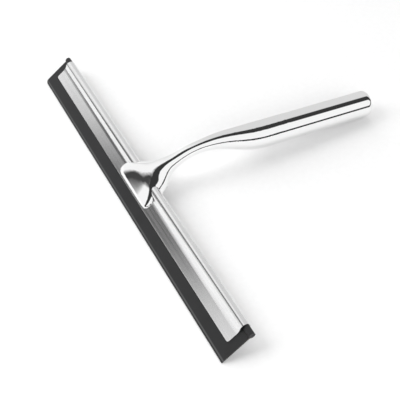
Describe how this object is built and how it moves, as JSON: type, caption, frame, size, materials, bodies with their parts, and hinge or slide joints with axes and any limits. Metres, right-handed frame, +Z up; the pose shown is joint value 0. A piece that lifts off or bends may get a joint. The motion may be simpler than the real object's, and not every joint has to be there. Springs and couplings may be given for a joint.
{
  "type": "window cleaning squeegee",
  "caption": "Window squeegee: rubber blade held in a folded metal channel, clamped under a cast chrome handle with an arched neck and a straight round grip.",
  "frame": {"origin": "on the table, under the middle of the squeegee as it lies on the lip of its blade and the end of its grip", "axes": "+X along the blade, +Y from the blade's lip towards the end of the grip, +Z up, away from the table"},
  "size_m": [0.254, 0.1774, 0.0276],
  "materials": {
    "blade_rubber": "matte black rubber",
    "channel_steel": "bright rolled stainless steel",
    "handle_chrome": "polished chrome plate",
    "jaw_chrome": "chrome plate over a cast surface",
    "screw_steel": "turned stainless steel"
  },
  "bodies": {
    "squeegee": {"handle": "handle_chrome", "blade_channel": "channel_steel", "clamp_jaw": "jaw_chrome", "clamp_screw_left": "screw_steel", "clamp_screw_right": "screw_steel"},
    "blade": {"rubber_blade": "blade_rubber"}
  },
  "joints": [
    {"name": "blade_slide", "type": "slide", "parent": "squeegee", "child": "blade", "axis": [1, 0, 0], "range_m": [-0.248, 0.248]}
  ]
}
